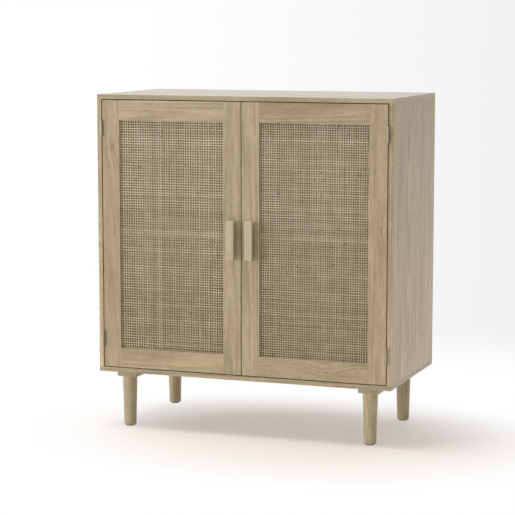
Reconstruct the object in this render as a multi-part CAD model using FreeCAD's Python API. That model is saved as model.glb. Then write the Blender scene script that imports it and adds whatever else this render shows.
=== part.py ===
"""Record cabinet: two inset doors with cane panels, four compartments, four turned legs.

X runs from left to right, Y from front to back and Z up, in millimetres. The origin lies on the floor,
at the middle of the space that the closed cabinet takes up, with its handles.
"""

import FreeCAD
import Part
import os

Vector = FreeCAD.Vector

# Carcass boards
WIDTH = 800.0
DEPTH = 400.0
CARCASS_HEIGHT = 730.0
BOARD = 12.0
BOARD_EASE = 0.5
BACK_THICKNESS = 3.0
BACK_INSET = 10.0
BACK_GROOVE_DEPTH = 4.0
BACK_CLEARANCE = 0.1

# Legs, the battens that carry them, and glides
LEG_LENGTH = 132.0
LEG_TOP_DIAMETER = 39.0
LEG_FOOT_DIAMETER = 32.0
LEG_FOOT_ROUND = 3.0
LEG_INSET_WIDTH = 67.0
LEG_INSET_DEPTH = 45.0
BATTEN_WIDTH = 55.0
BATTEN_THICKNESS = 16.0
BATTEN_EASE = 0.8
BATTEN_SCREW_DIAMETER = 4.0
BATTEN_SCREW_HEAD = 8.0
BATTEN_SCREW_SKIN = 5.0
BATTEN_SCREW_SHARES = (0.2, 0.4, 0.6, 0.8)
HANGER_DIAMETER = 8.0
HANGER_DEPTH = 32.0
INSERT_DIAMETER = 12.0
INSERT_SKIN = 2.0
GLIDE_DIAMETER = 25.0
GLIDE_THICKNESS = 2.0
GLIDE_EDGE = 0.6
GLIDE_NAIL_DIAMETER = 3.0
GLIDE_NAIL_LENGTH = 12.0

# Doors: frame, cane and the beads behind it
DOOR_GAP = 2.2
MEETING_GAP = 2.0
DOOR_THICKNESS = 18.0
DOOR_EASE = 0.5
STILE_WIDTH = 48.0
RAIL_HEIGHT = 51.0
REBATE_WIDTH = 10.0
REBATE_DEPTH = 13.5
CANE_THICKNESS = 2.0
CANE_MARGIN = 2.0
CANE_GAPS_ACROSS = 12
CANE_GAPS_UP = 24
CANE_GAP_SHARE = 0.46
BEAD_CLEARANCE = 0.1
BEAD_ROUND = 2.5
FRAME_DOWEL_DIAMETER = 6.0
FRAME_DOWEL_DEPTH = 20.0
FRAME_DOWEL_SHARES = (0.2, 0.58)

# Handles
HANDLE_LENGTH = 100.0
HANDLE_WIDTH = 21.0
HANDLE_PROJECTION = 20.0
HANDLE_BAR = 10.0
HANDLE_FOOT = 10.0
HANDLE_DROP = 1.0
HANDLE_EASE = 1.5
HANDLE_SCREW_DIAMETER = 4.0
HANDLE_SCREW_HEAD = 8.0
HANDLE_SCREW_HEAD_HEIGHT = 2.4
HANDLE_SCREW_SKIN = 6.0

# Hinges
HINGE_LENGTH = 40.0
HINGE_INSET = 74.0
LEAF_DEPTH = 14.0
LEAF_GAP = 0.4
BARREL_DIAMETER = 6.0
BARREL_CLEARANCE = 0.4
KNUCKLE_COUNT = 5
KNUCKLE_GAP = 0.3
HINGE_PIN_DIAMETER = 3.0
HINGE_PIN_CAP_DIAMETER = 5.0
HINGE_PIN_CAP_HEIGHT = 0.8
RUNNING_CLEARANCE = 0.05
LEAF_SCREW_SHARES = (-0.3, 0.3)

# Countersunk screws of hinges, catches and strike plates
SCREW_DIAMETER = 3.0
SCREW_HEAD = 5.6
SCREW_SKIN = 2.0

# Dowels, cam bolts and cams that join the boards
DOWEL_DIAMETER = 6.0
DOWEL_DEPTH = 18.0
DOWEL_SHARES = (0.1, 0.9)
ANCHOR_SKIN = 3.5
CAM_DIAMETER = 12.0
CAM_SKIN = 2.5
CAM_SETBACK = 24.0
CAM_ROOM = 0.3
CAM_SHARES = (0.22, 0.78)
BOLT_DIAMETER = 5.0
BOLT_HEAD_DIAMETER = 6.6
BOLT_HEAD_LENGTH = 3.0

# Divider, its bumpers, shelves and shelf pins
DIVIDER_GAP = 1.5
BUMPER_GAP = 0.3
BUMPER_HEIGHT = 12.0
BUMPER_MARGIN = 0.6
BUMPER_INSET = 60.0
SHELF_THICKNESS = 12.0
SHELF_SETBACK = 54.0
SHELF_CLEARANCE = 0.8
SHELF_PIN_DIAMETER = 5.0
SHELF_PIN_WEB = 0.5
SHELF_PIN_INSET = 50.0
SHELF_PIN_PITCH = 32.0
SHELF_PIN_STEPS = (-1, 0, 1)
TONGUE_LENGTH = 9.0
TONGUE_WIDTH = 8.0
TONGUE_THICKNESS = 2.0

# Magnetic catches and strike plates
CATCH_WIDTH = 40.0
CATCH_BODY_WIDTH = 24.0
CATCH_HEIGHT = 16.0
CATCH_DEPTH = 20.0
CATCH_PLATE = 3.0
CATCH_GAP = 0.3
CATCH_CLEARANCE = 1.0
MAGNET_WIDTH = 18.0
MAGNET_HEIGHT = 6.0
MAGNET_DEPTH = 12.0
POLE_THICKNESS = 1.2
POLE_LEAD = 0.5
STRIKE_WIDTH = 34.0
STRIKE_HEIGHT = 10.0
STRIKE_THICKNESS = 1.2
STRIKE_SCREW_SHARES = (-0.36, 0.36)

# Fits, cuts and the cross recess of a screw head
FIT = 0.05
OVERRUN = 4.0
RECESS_ARM_SHARE = 0.58
RECESS_WIDTH_SHARE = 0.14
RECESS_DEPTH_SHARE = 0.5
SCREW_TIP_SHARE = 0.2
PAN_SHOULDER_SHARE = 0.45
PAN_CROWN_SHARE = 0.6

# Places worked out from the sizes above
FRONT_Y = (HANDLE_PROJECTION - DEPTH) / 2
REAR_Y = FRONT_Y + DEPTH
SIDE_X = WIDTH / 2 - BOARD
BATTEN_Z = GLIDE_THICKNESS + LEG_LENGTH
CARCASS_Z = BATTEN_Z + BATTEN_THICKNESS
INSERT_TOP_Z = CARCASS_Z - INSERT_SKIN
FLOOR_Z = CARCASS_Z + BOARD
TOP_Z = CARCASS_Z + CARCASS_HEIGHT
CEILING_Z = TOP_Z - BOARD
BACK_Y = REAR_Y - BACK_INSET - BACK_THICKNESS
LEG_X = WIDTH / 2 - LEG_INSET_WIDTH
LEG_YS = (FRONT_Y + LEG_INSET_DEPTH, REAR_Y - LEG_INSET_DEPTH)

DOOR_OUTER_X = DOOR_GAP - SIDE_X
DOOR_INNER_X = -MEETING_GAP / 2
DOOR_LOW_Z = FLOOR_Z + DOOR_GAP
DOOR_HIGH_Z = CEILING_Z - DOOR_GAP
DOOR_BACK_Y = FRONT_Y + DOOR_THICKNESS
PANEL_XS = (DOOR_OUTER_X + STILE_WIDTH, DOOR_INNER_X - STILE_WIDTH)
PANEL_ZS = (DOOR_LOW_Z + RAIL_HEIGHT, DOOR_HIGH_Z - RAIL_HEIGHT)
REBATE_XS = (PANEL_XS[0] - REBATE_WIDTH, PANEL_XS[1] + REBATE_WIDTH)
REBATE_ZS = (PANEL_ZS[0] - REBATE_WIDTH, PANEL_ZS[1] + REBATE_WIDTH)
REBATE_Y = DOOR_BACK_Y - REBATE_DEPTH
BEAD_Y = REBATE_Y + CANE_THICKNESS

HANDLE_X = DOOR_INNER_X - STILE_WIDTH / 2
HANDLE_Z = (DOOR_LOW_Z + DOOR_HIGH_Z) / 2 - HANDLE_DROP

LEAF_THICKNESS = (DOOR_GAP - LEAF_GAP) / 2
BARREL_RADIUS = BARREL_DIAMETER / 2
HINGE_X = DOOR_GAP / 2 - SIDE_X
HINGE_Y = FRONT_Y - BARREL_RADIUS - BARREL_CLEARANCE
HINGE_ZS = (DOOR_LOW_Z + HINGE_INSET, DOOR_HIGH_Z - HINGE_INSET)
SCREW_LENGTH = BOARD - SCREW_SKIN

ANCHOR_DEPTH = BOARD - ANCHOR_SKIN
CAM_DEPTH = BOARD - CAM_SKIN
CAM_CAP = BOARD / 2 - BOLT_HEAD_DIAMETER / 2 - CAM_ROOM

DIVIDER_Y = DOOR_BACK_Y + DIVIDER_GAP
SHELF_Y = DOOR_BACK_Y + SHELF_SETBACK
SHELF_Z = (FLOOR_Z + CEILING_Z - SHELF_THICKNESS) / 2
SHELF_XS = (SHELF_CLEARANCE - SIDE_X, -BOARD / 2 - SHELF_CLEARANCE)
SHELF_PIN_YS = (SHELF_Y + SHELF_PIN_INSET, BACK_Y - SHELF_PIN_INSET)
SHELF_PIN_DEPTH = BOARD / 2 - SHELF_PIN_WEB

CATCH_X = -BOARD / 2 - CATCH_CLEARANCE - CATCH_WIDTH / 2
CATCH_Y = DOOR_BACK_Y + STRIKE_THICKNESS + CATCH_GAP
CATCH_Z = CEILING_Z - (CATCH_HEIGHT + CATCH_PLATE) / 2

LEFT = Vector(-1, 0, 0)
RIGHT = Vector(1, 0, 0)
BACKWARD = Vector(0, 1, 0)
DOWN = Vector(0, 0, -1)
UP = Vector(0, 0, 1)


def block(xs, ys, zs):
    """A box between three pairs of low and high places."""
    corner = Vector(xs[0], ys[0], zs[0])
    return Part.makeBox(xs[1] - xs[0], ys[1] - ys[0], zs[1] - zs[0], corner)


def around(middle, size):
    """The low and high places of a size laid evenly about its middle."""
    return (middle - size / 2, middle + size / 2)


def rod(diameter, start, end):
    """A round bar between two points."""
    axis = end.sub(start)
    return Part.makeCylinder(diameter / 2, axis.Length, start, axis)


def bored(diameter, start, end):
    """The hole between two points that a round piece of a diameter goes into."""
    return rod(diameter + 2 * FIT, start, end)


def turned(profile):
    """A solid turned about Z from points given as radius and height."""
    points = [Vector(radius, 0, height) for radius, height in profile]
    outline = Part.makePolygon(points + points[:1])
    return Part.Face(outline).revolve(Vector(), UP, 360)


def aimed(shape, place, direction):
    """A copy of a shape moved to a place, with its Z axis turned to a direction."""
    copy = shape.copy()
    copy.Placement = FreeCAD.Placement(place, FreeCAD.Rotation(UP, direction))
    return copy


def eased(solid, radius):
    """A solid with all its edges rounded."""
    return solid.makeFillet(radius, solid.Edges)


def mirrored(shape):
    """The right-hand counterpart of a left-hand shape."""
    return shape.mirror(Vector(), RIGHT)


def both_sides(shapes):
    """Left-hand shapes followed by their right-hand counterparts."""
    return shapes + [mirrored(shape) for shape in shapes]


def cross_recess(head_diameter, head_height, top):
    """The cross-shaped recess for a driver, cut down from the top of a screw head."""
    arm = around(0, head_diameter * RECESS_ARM_SHARE)
    width = around(0, head_diameter * RECESS_WIDTH_SHARE)
    depth = (top - head_height * RECESS_DEPTH_SHARE, top + OVERRUN)
    return block(arm, width, depth).fuse(block(width, arm, depth))


def countersunk_screw(diameter, head, length):
    """A screw along Z with the flat of its head at zero and its tip below."""
    head_height = (head - diameter) / 2
    tip_z = diameter * SCREW_TIP_SHARE - length
    outline = [(0, 0), (head / 2, 0), (diameter / 2, -head_height), (diameter / 2, tip_z), (0, -length)]
    return turned(outline).cut(cross_recess(head, head_height, 0))


def countersunk_hole(diameter, head, length):
    """The hole that takes a countersunk screw, open above its head."""
    head_height = (head - diameter) / 2
    shank_radius = diameter / 2 + FIT
    head_radius = head / 2 + FIT
    low = -length - FIT
    return turned([(0, OVERRUN), (head_radius, OVERRUN), (head_radius, 0),
                   (shank_radius, -head_height), (shank_radius, low), (0, low)])


def small_screw(place, direction):
    """A hinge, catch or strike screw whose head faces a direction."""
    return aimed(countersunk_screw(SCREW_DIAMETER, SCREW_HEAD, SCREW_LENGTH), place, direction)


def small_hole(place, direction):
    """The hole for a hinge, catch or strike screw."""
    return aimed(countersunk_hole(SCREW_DIAMETER, SCREW_HEAD, SCREW_LENGTH), place, direction)


def board_joint(board_x, board_ys, end_z, upward, facing):
    """Dowels, bolts and cams at one end of an upright board, and the bores they need.

    upward is 1 at the top end and -1 at the bottom end. facing is the side that shows the cams.
    """
    dowels = []
    bolts = []
    cams = []
    bores = []
    length = board_ys[1] - board_ys[0]
    anchor_z = end_z + upward * ANCHOR_DEPTH
    cam_z = end_z - upward * CAM_SETBACK
    for share in DOWEL_SHARES:
        y = board_ys[0] + share * length
        low_z = end_z - upward * DOWEL_DEPTH
        dowels.append(rod(DOWEL_DIAMETER, Vector(board_x, y, low_z), Vector(board_x, y, anchor_z)))
        hole_low = Vector(board_x, y, low_z - upward * FIT)
        hole_high = Vector(board_x, y, anchor_z + upward * FIT)
        bores.append(bored(DOWEL_DIAMETER, hole_low, hole_high))
    for share in CAM_SHARES:
        y = board_ys[0] + share * length
        middle = Vector(board_x, y, cam_z)
        anchor = Vector(board_x, y, anchor_z)
        half_head = Vector(0, 0, upward * BOLT_HEAD_LENGTH / 2)
        shank = rod(BOLT_DIAMETER, middle, anchor)
        head = rod(BOLT_HEAD_DIAMETER, middle.sub(half_head), middle.add(half_head))
        bolts.append(shank.fuse(head).removeSplitter())
        bores.append(bored(BOLT_DIAMETER, middle, anchor.add(Vector(0, 0, upward * FIT))))
        cam, cam_bore = cam_lock(Vector(board_x + facing * BOARD / 2, y, cam_z), facing)
        cams.append(cam)
        bores.append(cam_bore)
    return dowels, bolts, cams, bores


def cam_lock(face, facing):
    """A cam whose cap lies flush with a board's face, slotted for its bolt, and the bore for it."""
    inward = Vector(-facing, 0, 0)
    deep = face + inward * CAM_DEPTH
    body = rod(CAM_DIAMETER, face, deep)
    slot_xs = sorted((face.x - facing * CAM_CAP, deep.x - facing * OVERRUN))
    slot_ys = around(face.y, BOLT_HEAD_DIAMETER + 2 * CAM_ROOM)
    slot_zs = around(face.z, CAM_DIAMETER + 2 * OVERRUN)
    recess = aimed(cross_recess(CAM_DIAMETER, CAM_CAP, 0), face, Vector(facing, 0, 0))
    cam = body.cut([block(slot_xs, slot_ys, slot_zs), recess])
    bore = bored(CAM_DIAMETER, face - inward * OVERRUN, deep + inward * FIT)
    return cam, bore


def shelf_pin(face_x, y, into):
    """A shelf pin in a board's face, with a flat tongue under the shelf."""
    z = SHELF_Z - SHELF_PIN_DIAMETER / 2
    deep = Vector(face_x + into * SHELF_PIN_DEPTH, y, z)
    tip_x = face_x - into * TONGUE_LENGTH
    shank = rod(SHELF_PIN_DIAMETER, deep, Vector(tip_x, y, z))
    tongue_zs = (SHELF_Z - TONGUE_THICKNESS, SHELF_Z)
    tongue = block(sorted((face_x, tip_x)), around(y, TONGUE_WIDTH), tongue_zs)
    return shank.fuse(tongue).removeSplitter()


def shelf_pin_holes(face_x, into):
    """The two columns of pin holes in one face."""
    holes = []
    for y in SHELF_PIN_YS:
        for step in SHELF_PIN_STEPS:
            z = SHELF_Z - SHELF_PIN_DIAMETER / 2 + step * SHELF_PIN_PITCH
            deep = Vector(face_x + into * (SHELF_PIN_DEPTH + FIT), y, z)
            holes.append(bored(SHELF_PIN_DIAMETER, Vector(face_x - into * OVERRUN, y, z), deep))
    return holes


def leg(x, y):
    """A turned leg, tapered to a rounded foot, bored for its hanger bolt and the nail of its glide."""
    foot_z = GLIDE_THICKNESS
    top_z = BATTEN_Z
    cone = Part.makeCone(LEG_FOOT_DIAMETER / 2, LEG_TOP_DIAMETER / 2, LEG_LENGTH, Vector(x, y, foot_z))
    foot_edge = [edge for edge in cone.Edges if edge.BoundBox.ZMax < foot_z + LEG_FOOT_ROUND]
    body = cone.makeFillet(LEG_FOOT_ROUND, foot_edge)
    bolt_end = Vector(x, y, top_z - HANGER_DEPTH - FIT)
    bolt_hole = bored(HANGER_DIAMETER, bolt_end, Vector(x, y, top_z + OVERRUN))
    nail_end = Vector(x, y, foot_z + GLIDE_NAIL_LENGTH + FIT)
    nail_hole = bored(GLIDE_NAIL_DIAMETER, Vector(x, y, foot_z - OVERRUN), nail_end)
    return body.cut([bolt_hole, nail_hole])


def glide(x, y):
    """A nylon disc with a nail that goes up into the foot of a leg."""
    radius = GLIDE_DIAMETER / 2
    nail = GLIDE_NAIL_DIAMETER / 2
    nail_z = GLIDE_THICKNESS + GLIDE_NAIL_LENGTH
    outline = [(0, 0), (radius - GLIDE_EDGE, 0), (radius, GLIDE_EDGE), (radius, GLIDE_THICKNESS),
               (nail, GLIDE_THICKNESS), (nail, nail_z), (0, nail_z)]
    return turned(outline).translated(Vector(x, y, 0))


def threaded_insert(x, y):
    """The threaded sleeve in a batten that takes a hanger bolt."""
    low = Vector(x, y, BATTEN_Z)
    high = Vector(x, y, INSERT_TOP_Z)
    overrun = UP * OVERRUN
    return rod(INSERT_DIAMETER, low, high).cut(bored(HANGER_DIAMETER, low - overrun, high + overrun))


def hanger_bolt(x, y):
    """The headless bolt between a leg and its batten."""
    return rod(HANGER_DIAMETER, Vector(x, y, BATTEN_Z - HANGER_DEPTH), Vector(x, y, INSERT_TOP_Z))


def leg_batten(screw_holes):
    """The left batten under the bottom panel, from the front of one leg to the back of the other."""
    leg_radius = LEG_TOP_DIAMETER / 2
    ys = (LEG_YS[0] - leg_radius, LEG_YS[1] + leg_radius)
    batten = eased(block(around(-LEG_X, BATTEN_WIDTH), ys, (BATTEN_Z, CARCASS_Z)), BATTEN_EASE)
    sockets = []
    for y in LEG_YS:
        low = Vector(-LEG_X, y, BATTEN_Z - OVERRUN)
        high = Vector(-LEG_X, y, INSERT_TOP_Z + FIT)
        sockets.append(bored(INSERT_DIAMETER, low, high))
    return batten.cut(sockets + screw_holes)


def hinge_leaf(middle_z, side):
    """One leaf of a left-hand hinge with its knuckles and screw holes, and its screws.

    side is -1 for the leaf on the carcass and 1 for the leaf on the door.
    """
    seat_x = HINGE_X + side * DOOR_GAP / 2
    face_x = seat_x - side * LEAF_THICKNESS
    zs = around(middle_z, HINGE_LENGTH)
    plate = block(sorted((seat_x, face_x)), (HINGE_Y, FRONT_Y + LEAF_DEPTH), zs)
    knuckle_length = HINGE_LENGTH / KNUCKLE_COUNT
    rings = []
    notches = []
    for index in range(KNUCKLE_COUNT):
        low_z = zs[0] + index * knuckle_length
        high_z = low_z + knuckle_length
        on_carcass = index % 2 == 0
        if on_carcass == (side < 0):
            below = 0 if index == 0 else KNUCKLE_GAP / 2
            above = 0 if index == KNUCKLE_COUNT - 1 else KNUCKLE_GAP / 2
            ring_low = Vector(HINGE_X, HINGE_Y, low_z + below)
            ring_high = Vector(HINGE_X, HINGE_Y, high_z - above)
            rings.append(rod(BARREL_DIAMETER, ring_low, ring_high))
        else:
            notch_low = Vector(HINGE_X, HINGE_Y, low_z - KNUCKLE_GAP / 2)
            notch_high = Vector(HINGE_X, HINGE_Y, high_z + KNUCKLE_GAP / 2)
            notches.append(rod(BARREL_DIAMETER + 2 * KNUCKLE_GAP, notch_low, notch_high))
    bore_ends = (Vector(HINGE_X, HINGE_Y, zs[0] - OVERRUN), Vector(HINGE_X, HINGE_Y, zs[1] + OVERRUN))
    bore = rod(HINGE_PIN_DIAMETER + 2 * RUNNING_CLEARANCE, bore_ends[0], bore_ends[1])
    screw_y = FRONT_Y + LEAF_DEPTH / 2
    screws = []
    holes = []
    for share in LEAF_SCREW_SHARES:
        place = Vector(face_x, screw_y, middle_z + share * HINGE_LENGTH)
        screws.append(small_screw(place, Vector(-side, 0, 0)))
        holes.append(small_hole(place, Vector(-side, 0, 0)))
    leaf = plate.cut(notches).fuse(rings).cut([bore] + holes).removeSplitter()
    return leaf, screws, holes


def hinge_pin(middle_z):
    """The pin of a left-hand hinge, with a cap at each end of the barrel."""
    zs = around(middle_z, HINGE_LENGTH)
    low = Vector(HINGE_X, HINGE_Y, zs[0])
    high = Vector(HINGE_X, HINGE_Y, zs[1])
    cap = Vector(0, 0, HINGE_PIN_CAP_HEIGHT)
    shaft = rod(HINGE_PIN_DIAMETER, low - cap, high + cap)
    caps = [rod(HINGE_PIN_CAP_DIAMETER, low - cap, low), rod(HINGE_PIN_CAP_DIAMETER, high, high + cap)]
    return shaft.fuse(caps).removeSplitter()


def door_frame(bores):
    """The stiles and rails of the left door, rebated behind for the cane."""
    ys = (FRONT_Y, DOOR_BACK_Y)
    full_zs = (DOOR_LOW_Z, DOOR_HIGH_Z)
    rebate = block(REBATE_XS, (REBATE_Y, DOOR_BACK_Y + OVERRUN), REBATE_ZS)
    members = {
        "hinge_stile": block((DOOR_OUTER_X, PANEL_XS[0]), ys, full_zs),
        "meeting_stile": block((PANEL_XS[1], DOOR_INNER_X), ys, full_zs),
        "top_rail": block(PANEL_XS, ys, (PANEL_ZS[1], DOOR_HIGH_Z)),
        "bottom_rail": block(PANEL_XS, ys, (DOOR_LOW_Z, PANEL_ZS[0])),
    }
    return {name: eased_outside(member).cut([rebate] + bores) for name, member in members.items()}


def eased_outside(member):
    """A frame member with rounded edges, apart from those at its joints and beside the cane."""
    outside_xs = (DOOR_OUTER_X, DOOR_INNER_X)
    outside_zs = (DOOR_LOW_Z, DOOR_HIGH_Z)
    edges = []
    for edge in member.Edges:
        box = edge.BoundBox
        on_side = box.XLength < DOOR_EASE and min(abs(box.XMin - x) for x in outside_xs) < DOOR_EASE
        on_end = box.ZLength < DOOR_EASE and min(abs(box.ZMin - z) for z in outside_zs) < DOOR_EASE
        along_y = box.YLength > DOOR_EASE
        if (on_side or on_end) and not along_y:
            edges.append(edge)
    return member.makeFillet(DOOR_EASE, edges)


def corners(xs, y, zs):
    """The four corners of an upright rectangle, in order round it."""
    return [Vector(x, y, z) for x, z in ((xs[0], zs[0]), (xs[1], zs[0]), (xs[1], zs[1]), (xs[0], zs[1]))]


def cane_beads():
    """Four mitred beads that hold the cane in its rebate, each rounded along its inner edge."""
    outer_xs = (REBATE_XS[0] + BEAD_CLEARANCE, REBATE_XS[1] - BEAD_CLEARANCE)
    outer_zs = (REBATE_ZS[0] + BEAD_CLEARANCE, REBATE_ZS[1] - BEAD_CLEARANCE)
    outer = corners(outer_xs, BEAD_Y, outer_zs)
    inner = corners(PANEL_XS, BEAD_Y, PANEL_ZS)
    depth = BACKWARD * (DOOR_BACK_Y - BEAD_Y)
    beads = []
    for here, there in ((0, 1), (1, 2), (2, 3), (3, 0)):
        outline = Part.makePolygon([outer[here], outer[there], inner[there], inner[here], outer[here]])
        bead = Part.Face(outline).extrude(depth)
        middle = (inner[here] + inner[there]) / 2 + depth
        edge = min(bead.Edges, key=lambda side: side.CenterOfMass.distanceToPoint(middle))
        beads.append(bead.makeFillet(BEAD_ROUND, [edge]))
    return beads


def cane_panel():
    """The sheet of cane, laid in the rebate, with a plain grid of openings for its open weave."""
    xs = (REBATE_XS[0] + CANE_MARGIN, REBATE_XS[1] - CANE_MARGIN)
    zs = (REBATE_ZS[0] + CANE_MARGIN, REBATE_ZS[1] - CANE_MARGIN)
    step_x = (PANEL_XS[1] - PANEL_XS[0]) / CANE_GAPS_ACROSS
    step_z = (PANEL_ZS[1] - PANEL_ZS[0]) / CANE_GAPS_UP
    outlines = [corners(xs, REBATE_Y, zs)]
    for column in range(CANE_GAPS_ACROSS):
        gap_xs = around(PANEL_XS[0] + step_x * (column + 1 / 2), CANE_GAP_SHARE * step_x)
        for row in range(CANE_GAPS_UP):
            gap_zs = around(PANEL_ZS[0] + step_z * (row + 1 / 2), CANE_GAP_SHARE * step_z)
            outlines.append(corners(gap_xs, REBATE_Y, gap_zs))
    wires = [Part.makePolygon(outline + outline[:1]) for outline in outlines]
    return Part.makeFace(wires, "Part::FaceMakerBullseye").extrude(BACKWARD * CANE_THICKNESS)


def frame_dowels():
    """The dowels across the four corner joints of the left door, and their bores."""
    dowels = []
    bores = []
    y = FRONT_Y + DOOR_THICKNESS / 2
    solid_height = RAIL_HEIGHT - REBATE_WIDTH
    for joint_x in PANEL_XS:
        for share in FRAME_DOWEL_SHARES:
            for z in (REBATE_ZS[0] - share * solid_height, REBATE_ZS[1] + share * solid_height):
                start = Vector(joint_x - FRAME_DOWEL_DEPTH, y, z)
                end = Vector(joint_x + FRAME_DOWEL_DEPTH, y, z)
                dowels.append(rod(FRAME_DOWEL_DIAMETER, start, end))
                bores.append(bored(FRAME_DOWEL_DIAMETER, start + LEFT * FIT, end + RIGHT * FIT))
    return dowels, bores


def door_handle(holes):
    """The left handle: a bar on two feet, with room for fingers behind it."""
    xs = around(HANDLE_X, HANDLE_WIDTH)
    bar = block(xs, (FRONT_Y - HANDLE_PROJECTION, FRONT_Y), around(HANDLE_Z, HANDLE_LENGTH))
    edges = [edge for edge in bar.Edges if edge.BoundBox.YMin < FRONT_Y - HANDLE_EASE]
    rounded = bar.makeFillet(HANDLE_EASE, edges)
    gap_xs = (xs[0] - OVERRUN, xs[1] + OVERRUN)
    gap_ys = (FRONT_Y - HANDLE_PROJECTION + HANDLE_BAR, FRONT_Y + OVERRUN)
    finger_gap = block(gap_xs, gap_ys, around(HANDLE_Z, HANDLE_LENGTH - 2 * HANDLE_FOOT))
    return rounded.cut([finger_gap] + holes)


def handle_screws():
    """The two screws that hold the left handle from behind, and their holes."""
    radius = HANDLE_SCREW_DIAMETER / 2
    head = HANDLE_SCREW_HEAD / 2
    height = HANDLE_SCREW_HEAD_HEIGHT
    length = DOOR_THICKNESS + HANDLE_PROJECTION - HANDLE_SCREW_SKIN
    crown = head * PAN_CROWN_SHARE
    shoulder = height * PAN_SHOULDER_SHARE
    outline = [(0, height), (crown, height), (head, shoulder), (head, 0),
               (radius, 0), (radius, -length), (0, -length)]
    pan_screw = turned(outline).cut(cross_recess(HANDLE_SCREW_HEAD, height, height))
    shank_hole = bored(HANDLE_SCREW_DIAMETER, Vector(0, 0, -length - FIT), Vector(0, 0, OVERRUN))
    screws = []
    holes = []
    for z in around(HANDLE_Z, HANDLE_LENGTH - HANDLE_FOOT):
        place = Vector(HANDLE_X, DOOR_BACK_Y, z)
        screws.append(aimed(pan_screw, place, BACKWARD))
        holes.append(aimed(shank_hole, place, BACKWARD))
    return screws, holes


def strike_plate():
    """The steel plate on the back of the left door that its catch holds, with its screws and holes."""
    ys = (DOOR_BACK_Y, DOOR_BACK_Y + STRIKE_THICKNESS)
    plate = block(around(CATCH_X, STRIKE_WIDTH), ys, around(CATCH_Z, STRIKE_HEIGHT))
    places = [Vector(CATCH_X + share * STRIKE_WIDTH, ys[1], CATCH_Z) for share in STRIKE_SCREW_SHARES]
    screws = [small_screw(place, BACKWARD) for place in places]
    holes = [small_hole(place, BACKWARD) for place in places]
    return plate.cut(holes), screws, holes


def magnetic_catch():
    """The left catch under the top panel: housing, magnet, pole plates, screws and screw holes."""
    ys = (CATCH_Y, CATCH_Y + CATCH_DEPTH)
    plate = block(around(CATCH_X, CATCH_WIDTH), ys, (CEILING_Z - CATCH_PLATE, CEILING_Z))
    body = block(around(CATCH_X, CATCH_BODY_WIDTH), ys, (CEILING_Z - CATCH_HEIGHT, CEILING_Z))
    magnet_ys = (CATCH_Y + POLE_LEAD, CATCH_Y + MAGNET_DEPTH)
    magnet = block(around(CATCH_X, MAGNET_WIDTH), magnet_ys, around(CATCH_Z, MAGNET_HEIGHT))
    pole_xs = around(CATCH_X, MAGNET_WIDTH)
    pole_ys = (CATCH_Y, magnet_ys[1])
    pole_zs = [around(z, POLE_THICKNESS) for z in around(CATCH_Z, MAGNET_HEIGHT + POLE_THICKNESS)]
    poles = [block(pole_xs, pole_ys, zs) for zs in pole_zs]
    pocket_xs = around(CATCH_X, MAGNET_WIDTH + 2 * FIT)
    pocket_zs = around(CATCH_Z, MAGNET_HEIGHT + 2 * POLE_THICKNESS + 2 * FIT)
    pocket = block(pocket_xs, (CATCH_Y - OVERRUN, magnet_ys[1]), pocket_zs)
    screw_span = (CATCH_WIDTH + CATCH_BODY_WIDTH) / 2
    places = [Vector(x, sum(ys) / 2, CEILING_Z - CATCH_PLATE) for x in around(CATCH_X, screw_span)]
    screws = [small_screw(place, DOWN) for place in places]
    holes = [small_hole(place, DOWN) for place in places]
    housing = plate.fuse(body).removeSplitter().cut([pocket] + holes)
    return housing, magnet, poles, screws, holes


def bumper():
    """The left bumper, a soft strip on the front edge of the divider near its foot."""
    xs = (BUMPER_MARGIN - BOARD / 2, DOOR_INNER_X - BUMPER_MARGIN)
    zs = around(DOOR_LOW_Z + BUMPER_INSET, BUMPER_HEIGHT)
    return block(xs, (DOOR_BACK_Y + BUMPER_GAP, DIVIDER_Y), zs)


def door_nodes(door_hinges):
    """Every piece of the left door, by name."""
    leaves = [leaf for leaf, screws, holes in door_hinges]
    hinge_screws = [screw for leaf, screws, holes in door_hinges for screw in screws]
    hinge_holes = [hole for leaf, screws, holes in door_hinges for hole in holes]
    dowels, dowel_bores = frame_dowels()
    handle_fixings, handle_holes = handle_screws()
    strike, strike_screws, strike_holes = strike_plate()
    nodes = door_frame(dowel_bores + handle_holes + hinge_holes + strike_holes)
    nodes["frame_dowels"] = Part.makeCompound(dowels)
    nodes["cane_panel"] = cane_panel()
    nodes["cane_beads"] = Part.makeCompound(cane_beads())
    nodes["handle"] = door_handle(handle_holes)
    nodes["handle_screws"] = Part.makeCompound(handle_fixings)
    nodes["strike_plate"] = strike
    nodes["hinge_leaves"] = Part.makeCompound(leaves)
    nodes["hinge_and_strike_screws"] = Part.makeCompound(hinge_screws + strike_screws)
    return nodes


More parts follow.
